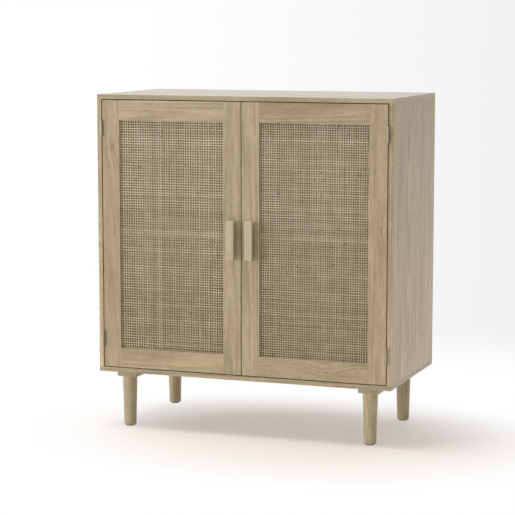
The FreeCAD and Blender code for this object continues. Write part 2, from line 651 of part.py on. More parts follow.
def carcass_boards(joint_bores, fixing_holes, batten_holes):
    """Top, bottom, sides, divider and back, with every groove and bore in them."""
    ys = (FRONT_Y, REAR_Y)
    full_xs = (-WIDTH / 2, WIDTH / 2)
    groove_ys = (BACK_Y - BACK_CLEARANCE, BACK_Y + BACK_THICKNESS + BACK_CLEARANCE)
    groove_reach = BACK_GROOVE_DEPTH + BACK_CLEARANCE
    groove_xs = (-SIDE_X - groove_reach, SIDE_X + groove_reach)
    groove_zs = (FLOOR_Z - groove_reach, CEILING_Z + groove_reach)
    groove = block(groove_xs, groove_ys, groove_zs)
    left_pin_holes = shelf_pin_holes(-SIDE_X, -1)
    divider_pin_holes = both_sides(shelf_pin_holes(-BOARD / 2, 1))
    top = eased(block(full_xs, ys, (CEILING_Z, TOP_Z)), BOARD_EASE)
    bottom = eased(block(full_xs, ys, (CARCASS_Z, FLOOR_Z)), BOARD_EASE)
    side = eased(block((-WIDTH / 2, -SIDE_X), ys, (FLOOR_Z, CEILING_Z)), BOARD_EASE)
    divider = block(around(0, BOARD), (DIVIDER_Y, BACK_Y), (FLOOR_Z, CEILING_Z))
    left_side = side.cut([groove] + joint_bores + fixing_holes + left_pin_holes)
    back_xs = (-SIDE_X - BACK_GROOVE_DEPTH, SIDE_X + BACK_GROOVE_DEPTH)
    back_zs = (FLOOR_Z - BACK_GROOVE_DEPTH, CEILING_Z + BACK_GROOVE_DEPTH)
    return {
        "top_panel": top.cut([groove] + joint_bores + fixing_holes),
        "bottom_panel": bottom.cut([groove] + joint_bores + batten_holes),
        "left_side_panel": left_side,
        "right_side_panel": mirrored(left_side),
        "centre_divider": divider.cut(joint_bores + divider_pin_holes),
        "back_panel": block(back_xs, (BACK_Y, BACK_Y + BACK_THICKNESS), back_zs),
    }


def carcass_joints():
    """All dowels, bolts and cams of the carcass, and their bores."""
    side_x = -WIDTH / 2 + BOARD / 2
    totals = ([], [], [], [])
    for end_z, upward in ((CEILING_Z, 1), (FLOOR_Z, -1)):
        side_pieces = board_joint(side_x, (FRONT_Y, REAR_Y), end_z, upward, 1)
        divider_pieces = board_joint(0, (DIVIDER_Y, BACK_Y), end_z, upward, 1)
        for total, at_side, at_divider in zip(totals, side_pieces, divider_pieces):
            total.extend(both_sides(at_side) + at_divider)
    return totals


def batten_fixings():
    """The screws that hold the left batten under the bottom panel, and their holes."""
    length = BATTEN_THICKNESS + BOARD - BATTEN_SCREW_SKIN
    screw = countersunk_screw(BATTEN_SCREW_DIAMETER, BATTEN_SCREW_HEAD, length)
    hole = countersunk_hole(BATTEN_SCREW_DIAMETER, BATTEN_SCREW_HEAD, length)
    screws = []
    holes = []
    for share in BATTEN_SCREW_SHARES:
        place = Vector(-LEG_X, LEG_YS[0] + share * (LEG_YS[1] - LEG_YS[0]), BATTEN_Z)
        screws.append(aimed(screw, place, DOWN))
        holes.append(aimed(hole, place, DOWN))
    return screws, holes


def leg_nodes(nodes):
    """Battens, legs, hanger bolts, inserts and glides."""
    screws, holes = batten_fixings()
    left_batten = leg_batten(holes)
    nodes["left_leg_batten"] = left_batten
    nodes["right_leg_batten"] = mirrored(left_batten)
    nodes["leg_batten_screws"] = Part.makeCompound(both_sides(screws))
    feet = []
    for row, y in zip(("front", "rear"), LEG_YS):
        for side, x in (("left", -LEG_X), ("right", LEG_X)):
            nodes[row + "_" + side + "_leg"] = leg(x, y)
            feet.append((x, y))
    nodes["leg_hanger_bolts"] = Part.makeCompound([hanger_bolt(x, y) for x, y in feet])
    nodes["leg_threaded_inserts"] = Part.makeCompound([threaded_insert(x, y) for x, y in feet])
    nodes["leg_glides"] = Part.makeCompound([glide(x, y) for x, y in feet])
    return both_sides(holes)


def shelf_nodes(nodes):
    """Both shelves and the pins that carry them."""
    shelf = eased(block(SHELF_XS, (SHELF_Y, BACK_Y), (SHELF_Z, SHELF_Z + SHELF_THICKNESS)), BOARD_EASE)
    nodes["left_shelf"] = shelf
    nodes["right_shelf"] = mirrored(shelf)
    pins = []
    for y in SHELF_PIN_YS:
        pins.append(shelf_pin(-SIDE_X, y, -1))
        pins.append(shelf_pin(-BOARD / 2, y, 1))
    nodes["shelf_pins"] = Part.makeCompound(both_sides(pins))


def catch_nodes(nodes):
    """Both catches and the bumpers. Returns the left catch's screws and their holes."""
    housing, magnet, poles, screws, holes = magnetic_catch()
    nodes["left_catch_housing"] = housing
    nodes["right_catch_housing"] = mirrored(housing)
    nodes["catch_magnets"] = Part.makeCompound(both_sides([magnet]))
    nodes["catch_pole_plates"] = Part.makeCompound(both_sides(poles))
    nodes["door_bumpers"] = Part.makeCompound(both_sides([bumper()]))
    return screws, holes


def cabinet():
    """Every node of the cabinet, by name."""
    nodes = {}
    dowels, bolts, cams, joint_bores = carcass_joints()
    batten_holes = leg_nodes(nodes)
    shelf_nodes(nodes)
    catch_screws, catch_holes = catch_nodes(nodes)
    carcass_hinges = [hinge_leaf(z, -1) for z in HINGE_ZS]
    door_hinges = [hinge_leaf(z, 1) for z in HINGE_ZS]
    carcass_leaves = [leaf for leaf, screws, holes in carcass_hinges]
    leaf_screws = [screw for leaf, screws, holes in carcass_hinges for screw in screws]
    leaf_holes = [hole for leaf, screws, holes in carcass_hinges for hole in holes]
    nodes.update(carcass_boards(joint_bores, both_sides(catch_holes + leaf_holes), batten_holes))
    nodes["carcass_dowels"] = Part.makeCompound(dowels)
    nodes["cam_bolts"] = Part.makeCompound(bolts)
    nodes["cam_locks"] = Part.makeCompound(cams)
    nodes["left_carcass_hinge_leaves"] = Part.makeCompound(carcass_leaves)
    nodes["right_carcass_hinge_leaves"] = mirrored(Part.makeCompound(carcass_leaves))
    nodes["hinge_pins"] = Part.makeCompound(both_sides([hinge_pin(z) for z in HINGE_ZS]))
    nodes["carcass_hinge_and_catch_screws"] = Part.makeCompound(both_sides(leaf_screws + catch_screws))
    for name, shape in door_nodes(door_hinges).items():
        nodes["left_door_" + name] = shape
        nodes["right_door_" + name] = mirrored(shape)
    return nodes


os.makedirs("parts", exist_ok=True)
for node_name, node_shape in cabinet().items():
    node_shape.exportStep("parts/" + node_name + ".step")
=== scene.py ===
import math
import random

import bmesh
import bpy
from mathutils import Euler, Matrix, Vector


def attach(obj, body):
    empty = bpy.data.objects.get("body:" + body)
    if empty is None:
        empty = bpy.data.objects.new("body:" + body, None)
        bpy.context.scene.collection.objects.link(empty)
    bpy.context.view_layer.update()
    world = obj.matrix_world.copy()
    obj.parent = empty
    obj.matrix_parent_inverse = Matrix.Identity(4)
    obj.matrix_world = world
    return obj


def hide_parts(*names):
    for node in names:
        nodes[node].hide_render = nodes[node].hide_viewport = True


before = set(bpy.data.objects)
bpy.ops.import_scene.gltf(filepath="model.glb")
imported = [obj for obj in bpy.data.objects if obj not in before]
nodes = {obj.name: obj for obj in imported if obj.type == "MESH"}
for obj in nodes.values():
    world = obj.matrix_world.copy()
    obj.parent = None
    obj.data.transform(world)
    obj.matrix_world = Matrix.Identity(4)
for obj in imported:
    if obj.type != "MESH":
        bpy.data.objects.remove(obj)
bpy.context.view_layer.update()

# One millimetre in metres, and the millimetres in a metre
MM = 0.001
METRE = 1000

# Inputs and outputs of a Mix node by number, because those for numbers, vectors and colours share their names
SHARE = 0
NUMBER_A, NUMBER_B = 2, 3
VECTOR_A, VECTOR_B, MIXED_VECTOR = 4, 5, 1
COLOUR_A, COLOUR_B, MIXED_COLOUR = 6, 7, 2
# Most values of a noise lie between these
NOISE_LOW, NOISE_HIGH = 0.3, 0.7


# Small helpers for colours and nodes

def linear(hex_colour):
    """An sRGB hex colour as linear red, green, blue and alpha."""
    parts = [int(hex_colour[place:place + 2], 16) / 255 for place in (1, 3, 5)]
    return [part / 12.92 if part <= 0.04045 else ((part + 0.055) / 1.055) ** 2.4 for part in parts] + [1.0]


def shaded(colour, gain):
    """A linear colour made lighter or darker, one gain for each channel."""
    return [part * factor for part, factor in zip(colour, gain)] + [1.0]


def change_of(colour, other):
    """What a linear colour is multiplied by to give another colour, written in hex."""
    return [part / whole for part, whole in zip(linear(other), colour)]


def new_finish(name):
    """An empty material and its node tree."""
    finish = bpy.data.materials.new(name)
    finish.use_nodes = True
    finish.node_tree.nodes.clear()
    return finish, finish.node_tree


def add(tree, kind, properties=None, values=None, links=None):
    """Add one node: its properties, the values of its inputs, and the outputs linked to its inputs."""
    node = tree.nodes.new("ShaderNode" + kind)
    for name, value in (properties or {}).items():
        setattr(node, name, value)
    for socket, value in (values or {}).items():
        node.inputs[socket].default_value = value
    for socket, source in (links or {}).items():
        tree.links.new(source, node.inputs[socket])
    return node


def span(low_in, high_in, low_out=0.0, high_out=1.0):
    """Input values that take one range of numbers to another."""
    return {"From Min": low_in, "From Max": high_in, "To Min": low_out, "To Max": high_out}


def set_ramp(ramp, stops):
    """Give a colour ramp its stops, each a position and a linear colour."""
    elements = ramp.color_ramp.elements
    while len(elements) < len(stops):
        elements.new(0.5)
    for element, (position, colour) in zip(elements, stops):
        element.position = position
        element.color = colour


# Oak: a light, greyed European oak, sliced or sawn, sanded and sprayed with a satin lacquer. The eye sees
# soft streaks along the grain, arched bands where the growth rings meet the face, and short dark pores. The
# lacquer mirrors pale surroundings on faces that are seen at a slant.

# Turns in degrees that bring the grain of a board to the Z axis
GRAIN_TURNS = {"x": (0, -90, 0), "y": (90, 0, 0), "z": (0, 0, 0)}
# The distance between growth rings in mm, and the length of one wave of a Wave Texture at a scale of 1
RING_SPACING = 4.2
WAVE_LENGTH = 0.314
# The rings waver slowly along the grain: its millimetres count for this share of those across it
RING_DRAW = 0.07
# How far the sum of the patterns swings from its middle to the darkest and the lightest wood
TONE_SPREAD = 0.5
# What the base colour is multiplied by: for the darkest, the middle and the lightest wood, for the pores, for
# the greyer drifts and for the heart of a knot
FIBRE_TONES = ((0.74, 0.715, 0.66), (1.0, 1.0, 1.0), (1.18, 1.2, 1.27))
PORE_GAIN = (0.68, 0.64, 0.57)
DRIFT_GAIN = (0.88, 0.845, 0.88)
KNOT_GAIN = (0.52, 0.46, 0.41)
# A knot reaches twice as far along the grain as across it
KNOT_SHAPES = {"x": (2.0, 1, 1), "z": (1, 1, 2.0)}
# Where a knot's heart is darkest and where it ends, in sizes of the heart, and its greatest share
HEART_FULL, HEART_END = -0.5, 0.4
HEART_SHARE = 0.9
# The noise levels at which the drifts and the pores begin and are full, and their least and greatest share
DRIFT_LEVELS = span(0.44, 0.66, 0.0, 0.6)
PORE_LEVELS = span(0.60, 0.72, 0.0, 0.7)
# An upright board that is painted lighter towards its foot, as painted light bounced from the floor, changes
# between these heights in metres
PAINTED_BOUNCE_HEIGHTS = span(0.8, 0.2)
# A face looks along an axis where more than this part of its normal, out of 1, lies along it. A board's ends
# need more.
FACING = 0.5
END_FACING = 0.8
# How deep the pores are, set against the height of the fibres
PORE_DEPTH = 0.8


def grain_place(tree, here, grain, centre, lean):
    """Millimetres along and across the grain: Z runs along it, and the log's centre line is at X = Y = 0."""
    turn = Euler([math.radians(angle) for angle in GRAIN_TURNS[grain]])
    tilt = Euler([math.radians(angle) for angle in (lean[0], lean[1], 0)])
    whole = tilt.to_matrix() @ turn.to_matrix()
    shift = -(whole @ Vector(centre))
    values = {"Location": shift, "Rotation": whole.to_euler(), "Scale": (METRE, METRE, METRE)}
    return add(tree, "Mapping", values=values, links={"Vector": here}).outputs["Vector"]


def round_knot(tree, here, place, grain, knot):
    """The place in the grain with the fibres bent round a knot, and the share of the knot's dark heart."""
    middle, reach, push, spot = knot
    near = add(tree, "Mapping", {"vector_type": "TEXTURE"},
               {"Location": [size * MM for size in middle], "Scale": KNOT_SHAPES[grain]}, {"Vector": here})
    away = add(tree, "VectorMath", {"operation": "LENGTH"}, links={0: near.outputs[0]}).outputs["Value"]
    # The fibres are pushed aside near the knot, less and less with distance
    bent = add(tree, "MapRange", {"interpolation_type": "SMOOTHSTEP"}, span(0.0, reach * MM, push, 0.0),
               {"Value": away})
    aside = add(tree, "CombineXYZ", links={"X": bent.outputs[0]})
    place = add(tree, "VectorMath", {"operation": "ADD"}, links={0: place, 1: aside.outputs[0]}).outputs[0]
    # The heart has a ragged edge
    ragged = add(tree, "TexNoise", values={"Scale": METRE / spot, "Detail": 3.0}, links={"Vector": here})
    edge = add(tree, "Math", {"operation": "MULTIPLY_ADD"}, {1: -spot * MM},
               {0: ragged.outputs["Fac"], 2: away})
    heart = add(tree, "MapRange", {"interpolation_type": "SMOOTHSTEP"},
                span(HEART_FULL * spot * MM, HEART_END * spot * MM, HEART_SHARE, 0.0),
                {"Value": edge.outputs[0]})
    return place, heart.outputs[0]


def fibres(tree, place, width, length, detail):
    """Noise drawn out along the grain, its streaks about width by length in mm."""
    drawn = add(tree, "Mapping", values={"Scale": (1 / width, 1 / width, 1 / length)},
                links={"Vector": place})
    values = {"Scale": 1.0, "Detail": detail, "Roughness": 0.55}
    return add(tree, "TexNoise", values=values, links={"Vector": drawn.outputs[0]}).outputs["Fac"]


def fibre_tone(tree, place, hairs, figure, breadth, run, contrast):
    """How light the wood is, from 0 to 1, where the rings and all the streaks are added up."""
    # Growth rings, seen as arched bands where they come out at the face
    drawn = add(tree, "Mapping", values={"Scale": (1, 1, RING_DRAW)}, links={"Vector": place})
    rings = add(tree, "TexWave", {"wave_type": "RINGS", "rings_direction": "Z", "wave_profile": "SIN"},
                {"Scale": WAVE_LENGTH / RING_SPACING, "Distortion": 6.0, "Detail": 2.0, "Detail Scale": 0.45,
                 "Detail Roughness": 0.55}, {"Vector": drawn.outputs[0]})
    # Streaks, broad bands and a slow change of tone along the board
    streaks = fibres(tree, place, 6 * breadth, 150 * breadth * run, 3)
    bands = fibres(tree, place, 17 * breadth, 210 * breadth * run, 2)
    clouds = fibres(tree, place, 42 * breadth, 300 * breadth, 2)
    weights = ((streaks, 0.8), (bands, 1.0), (hairs, 1.5), (clouds, 1.0))
    tone = add(tree, "Math", {"operation": "MULTIPLY"}, {1: figure}, {0: rings.outputs["Fac"]})
    for pattern, weight in weights:
        tone = add(tree, "Math", {"operation": "MULTIPLY_ADD"}, {1: weight}, {0: pattern, 2: tone.outputs[0]})
    middle = 0.5 * (figure + sum(weight for pattern, weight in weights))
    spread = TONE_SPREAD / contrast
    level = add(tree, "MapRange", values=span(middle - spread, middle + spread),
                links={"Value": tone.outputs[0]})
    return level.outputs[0]


def oak(name, colour, grain, centre, lean=(0.6, 0.9), figure=0.6, breadth=1.0, run=1.0, contrast=1.0,
        rough=0.34, shine=0.5, knot=None, end_band=None, strip=None, inner_face_shade=None, painted_bounce=0.0):
    """One board's oak. centre is a point in mm on the centre line of the log that it was cut from, and lean
    is how the log leans from the board, in degrees.

    figure is how strongly the rings show, breadth widens the streaks of a broad sliced veneer, run is the
    share of their usual length that they keep, and contrast sets the light wood off from the dark. rough and
    shine are the lacquer's roughness and specular level. knot is its middle, how far and how strongly it
    bends the fibres, and the size of its heart, in mm. end_band is the log centre of the strips on a board's
    two ends, and strip is the colour of all the strips that edge a level board. inner_face_shade is the way
    along X that the inner face of a side looks, and the darker colour that paints the shade of the closed
    interior on it. painted_bounce is how much lighter an upright board is painted towards its foot, as
    painted light bounced from the floor."""
    finish, tree = new_finish(name)
    base = linear(colour)
    coordinates = add(tree, "TexCoord")
    here = coordinates.outputs["Object"]
    place = grain_place(tree, here, grain, centre, lean)
    if end_band or strip or inner_face_shade:
        facing = add(tree, "SeparateXYZ", links={0: coordinates.outputs["Normal"]}).outputs
    if end_band:
        # The grain of the end strips runs from front to back
        across = grain_place(tree, here, "y", end_band, lean)
        sideways = add(tree, "Math", {"operation": "ABSOLUTE"}, links={0: facing["X"]})
        at_end = add(tree, "Math", {"operation": "GREATER_THAN"}, {1: END_FACING}, {0: sideways.outputs[0]})
        place = add(tree, "Mix", {"data_type": "VECTOR"},
                    links={SHARE: at_end.outputs[0], VECTOR_A: place, VECTOR_B: across}).outputs[MIXED_VECTOR]
    if knot:
        place, heart = round_knot(tree, here, place, grain, knot)

    # Short fibres, and drifts along the grain where the wood is a greyer, pinker brown. Real pores are about
    # 0.3 mm wide; they are drawn 0.9 mm wide so that they still show in the render.
    hairs = fibres(tree, place, 2.2, 18, 2)
    drifts = fibres(tree, place, 20 * breadth, 120 * breadth, 2)
    pores = fibres(tree, place, 0.9, 14, 1)
    level = fibre_tone(tree, place, hairs, figure, breadth, run, contrast)
    ramp = add(tree, "ValToRGB", links={"Fac": level})
    set_ramp(ramp, [(position, shaded(base, gain)) for position, gain in zip((0.0, 0.5, 1.0), FIBRE_TONES)])

    # What then changes the wood's colour, in order: a share from 0 to 1, a colour and how they are mixed
    drifting = add(tree, "MapRange", values=DRIFT_LEVELS, links={"Value": drifts})
    layers = [(drifting.outputs[0], shaded(base, DRIFT_GAIN), "MIX")]
    if strip:
        upward = add(tree, "Math", {"operation": "ABSOLUTE"}, links={0: facing["Z"]})
        at_edge = add(tree, "Math", {"operation": "LESS_THAN"}, {1: FACING}, {0: upward.outputs[0]})
        layers.append((at_edge.outputs[0], change_of(base, strip), "MULTIPLY"))
    # Painted shade of the closed interior: the inner face of a side takes a darker colour
    if inner_face_shade:
        way, inner_shade_colour = inner_face_shade
        inward = add(tree, "Math", {"operation": "MULTIPLY"}, {1: way}, {0: facing["X"]})
        at_inside = add(tree, "Math", {"operation": "GREATER_THAN"}, {1: FACING}, {0: inward.outputs[0]})
        layers.append((at_inside.outputs[0], change_of(base, inner_shade_colour), "MULTIPLY"))
    # Painted light bounced from the floor: an upright board is made lighter towards its foot
    if painted_bounce:
        height = add(tree, "SeparateXYZ", links={0: here}).outputs["Z"]
        lower = add(tree, "MapRange", values=PAINTED_BOUNCE_HEIGHTS, links={"Value": height})
        layers.append((lower.outputs[0], [1 + painted_bounce] * 3 + [1.0], "MULTIPLY"))
    if knot:
        layers.append((heart, shaded(base, KNOT_GAIN), "MIX"))
    open_pores = add(tree, "MapRange", values=PORE_LEVELS, links={"Value": pores}).outputs[0]
    layers.append((open_pores, shaded(base, PORE_GAIN), "MIX"))
    wood = ramp.outputs["Color"]
    for share, tint, blend in layers:
        wood = add(tree, "Mix", {"data_type": "RGBA", "blend_type": blend}, {COLOUR_B: tint},
                   {SHARE: share, COLOUR_A: wood}).outputs[MIXED_COLOUR]

    # The short fibres stand slightly proud and the pores are open
    sheen = add(tree, "MapRange", values=span(NOISE_LOW, NOISE_HIGH, rough - 0.05, rough + 0.06),
                links={"Value": hairs})
    height = add(tree, "Math", {"operation": "MULTIPLY_ADD"}, {1: -PORE_DEPTH}, {0: open_pores, 2: hairs})
    relief = add(tree, "Bump", values={"Strength": 0.2, "Distance": 0.25 * MM},
                 links={"Height": height.outputs[0]})
    surface = add(tree, "BsdfPrincipled", values={"IOR": 1.5, "Specular IOR Level": shine},
                  links={"Base Color": wood, "Roughness": sheen.outputs[0], "Normal": relief.outputs[0]})
    add(tree, "OutputMaterial", links={"Surface": surface.outputs[0]})
    return finish


def dress(finish, *names):
    """Give CAD nodes a finish."""
    for name in names:
        for slot in nodes[name].material_slots:
            slot.material = finish


# The carcass boards: the grain of the top, the bottom and the shelves runs along them, and that of the sides
# and the divider runs upright. The boards inside, and the inner faces of the sides, are given a darker colour
# than those outside: painted shade of the closed interior. The sides are painted lighter towards their foot:
# painted light bounced from the floor.

SIDE_OAK = "#B3A182"
# The darker oak inside is painted shade of the closed interior
INTERIOR_SHADE_OAK = "#93836A"
INNER_FACE_SHADE_OAK = "#7F6F57"
# The sides' veneer, painted lighter towards its foot as painted light bounced from the floor
SIDE_VENEER = {"breadth": 1.6, "figure": 0.4, "shine": 0.3, "contrast": 2.5, "painted_bounce": 0.35}

# The top's oak is greyer than that of the other boards: painted sheen of the pale surroundings on the top,
# besides the lacquer's own. Its edge strips keep a plain oak colour.
dress(oak("lacquered_oak_veneer_top", "#A99D88", "x", (120, -420, 900), breadth=1.8, shine=0.85,
          end_band=(400, 40, 700), strip="#AC9A78"), "top_panel")
dress(oak("lacquered_oak_veneer_bottom", "#AD9D80", "x", (-80, -390, 60), end_band=(400, 30, 260)),
      "bottom_panel")
dress(oak("lacquered_oak_veneer_left_side", SIDE_OAK, "z", (-520, 60, 300), inner_face_shade=(1, INNER_FACE_SHADE_OAK),
          **SIDE_VENEER), "left_side_panel")
dress(oak("lacquered_oak_veneer_right_side", SIDE_OAK, "z", (505, -40, 500), inner_face_shade=(-1, INNER_FACE_SHADE_OAK),
          **SIDE_VENEER), "right_side_panel")
# The divider and the shelves take the darker inner oak: painted shade of the closed interior
for board, grain, centre, node in (("divider", "z", (90, 40, 400), "centre_divider"),
                                   ("left_shelf", "x", (-200, 30, 420), "left_shelf"),
                                   ("right_shelf", "x", (200, -60, 640), "right_shelf")):
    dress(oak("lacquered_oak_veneer_" + board, INTERIOR_SHADE_OAK, grain, centre, breadth=2.0), node)

# The door frames: upright grain on the stiles and level grain on the rails, so the joints show only there.
# Three members have a small knot.

DOOR_MEMBERS = (
    ("left_door_hinge_stile", "#AF9D7D", "z", (-372, -118, 500), (0.5, 1.3), ((-357, -190, 744), 44, 12, 8)),
    ("left_door_meeting_stile", "#B2A181", "z", (-36, -105, 300), (0.4, -1.0), None),
    ("left_door_top_rail", "#B9A889", "x", (-190, -122, 826), (0.8, 1.4), None),
    ("left_door_bottom_rail", "#B2A07F", "x", (-260, -90, 206), (0.2, 0.7), None),
    ("right_door_hinge_stile", "#B6A485", "z", (372, -112, 700), (0.5, 0.9), ((371, -190, 557), 34, 9, 5)),
    ("right_door_meeting_stile", "#B5A484", "z", (14, -120, 600), (0.6, -0.8), None),
    ("right_door_top_rail", "#AB997B", "x", (150, -98, 858), (0.3, 0.8), None),
    ("right_door_bottom_rail", "#B3A181", "x", (200, -128, 176), (0.9, 1.2),
     ((229, -190, 186), 46, -18, 6)),
)
for member, colour, grain, centre, lean, knot in DOOR_MEMBERS:
    figure = 0.4 if knot else 0.6
    dress(oak("lacquered_oak_" + member, colour, grain, centre, lean, figure, run=0.4, knot=knot), member)
dress(oak("lacquered_oak_beads", "#AB9A7D", "z", (-20, -90, 500)), "left_door_cane_beads",
      "right_door_cane_beads")
for side, centre in (("left", (-60, -260, 500)), ("right", (70, -250, 480))):
    dress(oak("sanded_oak_" + side + "_handle", "#C3B499", "z", centre, figure=0.1, contrast=0.5, rough=0.42),
          side + "_door_handle")

# The legs, turned from solid oak, and the battens that they are bolted to

for leg, centre in (("front_left_leg", (-350, -170, 60)), ("front_right_leg", (318, -120, 60)),
                    ("rear_left_leg", (-320, 190, 60)), ("rear_right_leg", (352, 140, 60))):
    dress(oak("turned_oak_" + leg, "#BAA988", "z", centre, figure=0.5), leg)
for side, centre in (("left", (-300, 0, 60)), ("right", (360, 0, 50))):
    dress(oak("lacquered_oak_" + side + "_batten", "#B0A083", "y", centre), side + "_leg_batten")


# Other materials of the carcass and its fittings

def speckled(name, colour, spot, gain, rough, metal=0.0, relief=0.1):
    """A plain finish with a fine mottle: spot is the size of the mottle in mm, gain how far it darkens."""
    finish, tree = new_finish(name)
    coordinates = add(tree, "TexCoord")
    fine = add(tree, "TexNoise", values={"Scale": METRE / spot, "Detail": 3.0, "Roughness": 0.6},
               links={"Vector": coordinates.outputs["Object"]}).outputs["Fac"]
    base = linear(colour)
    tones = add(tree, "ValToRGB", links={"Fac": fine})
    set_ramp(tones, [(NOISE_LOW, shaded(base, [gain] * 3)), (NOISE_HIGH, shaded(base, [2 - gain] * 3))])
    polish = add(tree, "MapRange", values=span(NOISE_LOW, NOISE_HIGH, rough - 0.06, rough + 0.06),
                 links={"Value": fine})
    bumps = add(tree, "Bump", values={"Strength": relief, "Distance": 0.1 * MM}, links={"Height": fine})
    surface = add(tree, "BsdfPrincipled", values={"Metallic": metal},
                  links={"Base Color": tones.outputs["Color"], "Roughness": polish.outputs[0],
                         "Normal": bumps.outputs[0]})
    add(tree, "OutputMaterial", links={"Surface": surface.outputs[0]})
    return finish


# Tempered hardboard, pressed from wood fibre: dark brown, smooth and matt, with a fine fibre fleck
dress(speckled("pressed_hardboard", "#5F4832", spot=2.5, gain=0.9, rough=0.7),
      "back_panel")
# Beech dowels, pale and close-grained
dress(speckled("turned_beech", "#C9AE86", spot=1.2, gain=0.93, rough=0.6),
      "carcass_dowels", "left_door_frame_dowels", "right_door_frame_dowels")
# Bronzed steel for the hinges: a dull grey brown, with a pale line along each knuckle that faces the light
dress(speckled("bronzed_steel", "#93897A", spot=0.6, gain=0.92, rough=0.37, metal=1.0),
      "left_carcass_hinge_leaves", "right_carcass_hinge_leaves", "hinge_pins", "left_door_hinge_leaves",
      "right_door_hinge_leaves")
# Nickel-plated steel for the strikes and pole plates: pale, slightly warm
dress(speckled("nickel_plated_steel", "#C9C5BC", spot=0.6, gain=0.94, rough=0.28, metal=1.0),
      "left_door_strike_plate", "right_door_strike_plate", "catch_pole_plates")
# Bright zinc plating on the screws, bolts, cams and pins: a cool grey with a fine crystal mottle
dress(speckled("zinc_plated_steel", "#B9BBBD", spot=0.8, gain=0.88, rough=0.36, metal=1.0),
      "shelf_pins", "leg_batten_screws", "leg_hanger_bolts", "leg_threaded_inserts", "cam_bolts",
      "cam_locks", "carcass_hinge_and_catch_screws", "left_door_handle_screws", "right_door_handle_screws",
      "left_door_hinge_and_strike_screws", "right_door_hinge_and_strike_screws")
# Moulded nylon, slightly dull: off-white for the catches, brown for the glides under the legs
dress(speckled("moulded_nylon_white", "#D8D2C6", spot=0.9, gain=0.97, rough=0.5),
      "left_catch_housing", "right_catch_housing")
dress(speckled("moulded_nylon_brown", "#5C4A36", spot=0.9, gain=0.97, rough=0.5),
      "leg_glides")
# Sintered ferrite magnets, nearly black
dress(speckled("sintered_ferrite", "#3A3938", spot=0.5, gain=0.85, rough=0.6),
      "catch_magnets")
# Pressed felt pads, with a loose nap
dress(speckled("pressed_felt", "#CFC6B6", spot=0.7, gain=0.85, rough=0.95, relief=0.6),
      "door_bumpers")


# Cane: strands of rattan peel, each over one and under the next. The eye sees a slightly uneven lattice of
# flat, faintly glossy strands of many pale browns, with a dark hole in each mesh.

def node_box(name):
    """The low and the high corner of a CAD node, in mm."""
    corners = nodes[name].bound_box
    return [[end(corner[axis] for corner in corners) / MM for axis in range(3)] for end in (min, max)]


(CANE_LEFT, CANE_FRONT, CANE_BOTTOM), (CANE_RIGHT, CANE_BACK, CANE_TOP) = node_box("left_door_cane_panel")
CANE_MIDDLE_Y = (CANE_FRONT + CANE_BACK) / 2
# A strand in mm: its thickness, how far it rises and dips from the weave's middle, and its crown's height
STRAND_THICKNESS = 0.7
STRAND_RISE = 0.52
STRAND_CROWN = 0.14
# Half the length that lies flat at a crossing, as a share of the width of the strand that is crossed: 0.29 of
# the spacing for a strand that fills 0.55 of it
CROSSING_SHARE = 0.29 / 0.55
# How a strand strays: sideways as a share of the spacing, then the height and the length of its waves in mm
STRAND_STRAY = 0.06
STRAND_SWAY = (0.1, 0.4)
STRAND_WAVE = (70, 160)
# The lowest, the highest and the commonest tone of a strand
STRAND_TONES = (0.3, 0.78, 0.45)
# The peel in mm: the width and the length of its fibres, the size of its patches and that of its dark marks.
# Real fibres are about 0.3 mm wide; they are drawn 0.8 mm wide so that they still show in the render.
PEEL_FIBRE_WIDTH = 0.8
PEEL_FIBRE_LENGTH = 50
PEEL_PATCH = 30
LEAF_JOINT_SIZE = 9
# How much the patches count in the tone, set against the fibres
PATCH_WEIGHT = 0.5
# The sums of the patterns that the peel's colours spread over, how much a sum loses towards the foot of a
# door, between two heights in metres, and the noise levels of the dark marks
PEEL_LEVELS = span(0.5, 2.0)
FOOT_LOSS = span(0.25, 0.75, -0.22, 0.0)
LEAF_JOINT_LEVELS = span(0.72, 0.78, 0.0, 0.8)
PEEL_COLOURS = ((0.0, "#826E4C"), (0.4, "#C1AD8C"), (0.65, "#D7C9AF"), (1.0, "#F1EBE0"))
LEAF_JOINT = "#6E5A3E"


